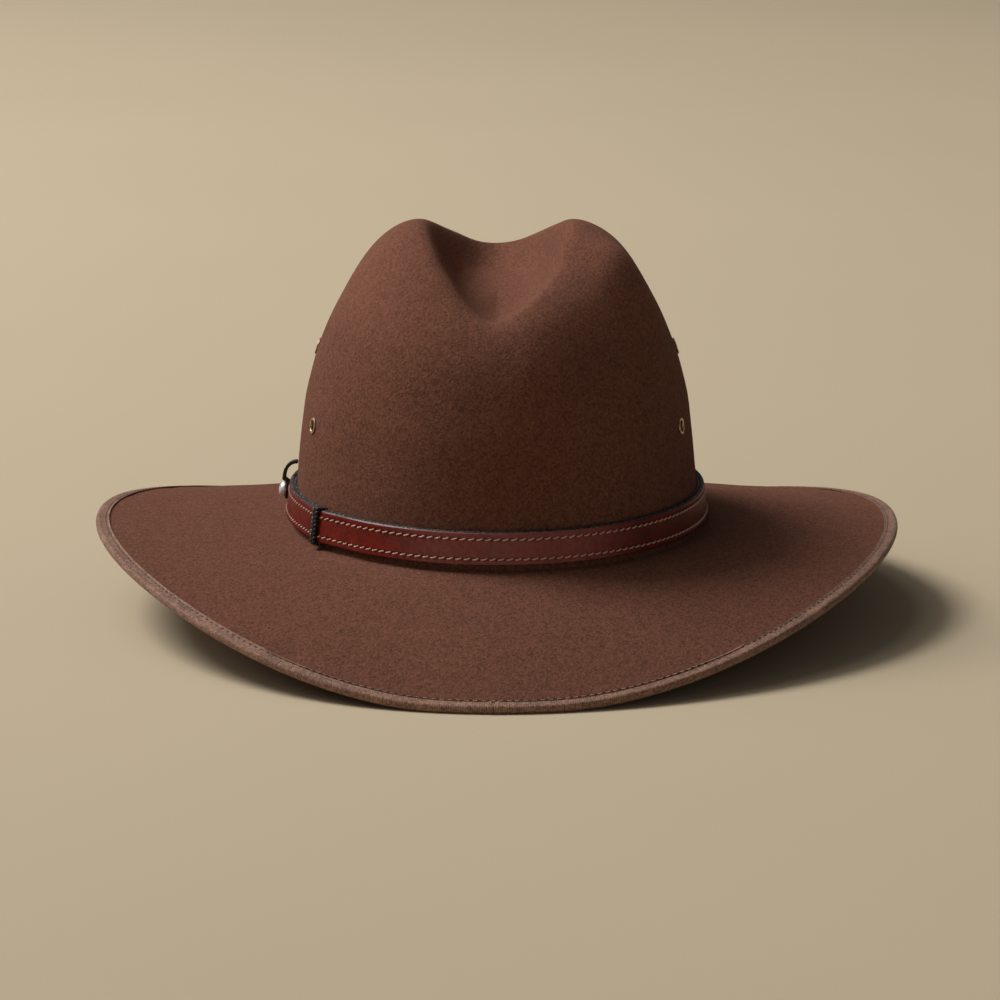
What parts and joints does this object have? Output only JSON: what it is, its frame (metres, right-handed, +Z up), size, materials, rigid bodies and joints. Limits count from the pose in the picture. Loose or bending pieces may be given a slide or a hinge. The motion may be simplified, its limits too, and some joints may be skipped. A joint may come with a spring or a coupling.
{
  "type": "bush hat",
  "caption": "Brown fur-felt bush hat with a dented crown, a wide bound brim that dips front and back, a stitched leather band with keeper and stud, and vent eyelets.",
  "frame": {"origin": "on the surface that the hat rests on, under the middle of its bounding box", "axes": "+Z up out of the crown, +Y towards the front of the hat, +X towards the wearer's right"},
  "size_m": [0.3338, 0.3798, 0.1601],
  "materials": {
    "brown_felt": "napped fur felt",
    "brown_ribbon": "ribbed ribbon",
    "burgundy_leather": "smooth, waxed, stitched",
    "black_leather": "plaited",
    "dark_leather": "smooth",
    "silver_metal": "polished",
    "bronze_metal": "satin antique"
  },
  "bodies": {
    "root": {"felt_body": "brown_felt", "brim_binding": "brown_ribbon", "hat_band": "burgundy_leather", "band_keeper": "black_leather", "stud_tab": "dark_leather", "stud": "silver_metal", "eyelet_left_rear": "bronze_metal", "eyelet_left_top": "bronze_metal", "eyelet_left_front": "bronze_metal", "eyelet_right_rear": "bronze_metal", "eyelet_right_top": "bronze_metal", "eyelet_right_front": "bronze_metal"}
  },
  "joints": []
}
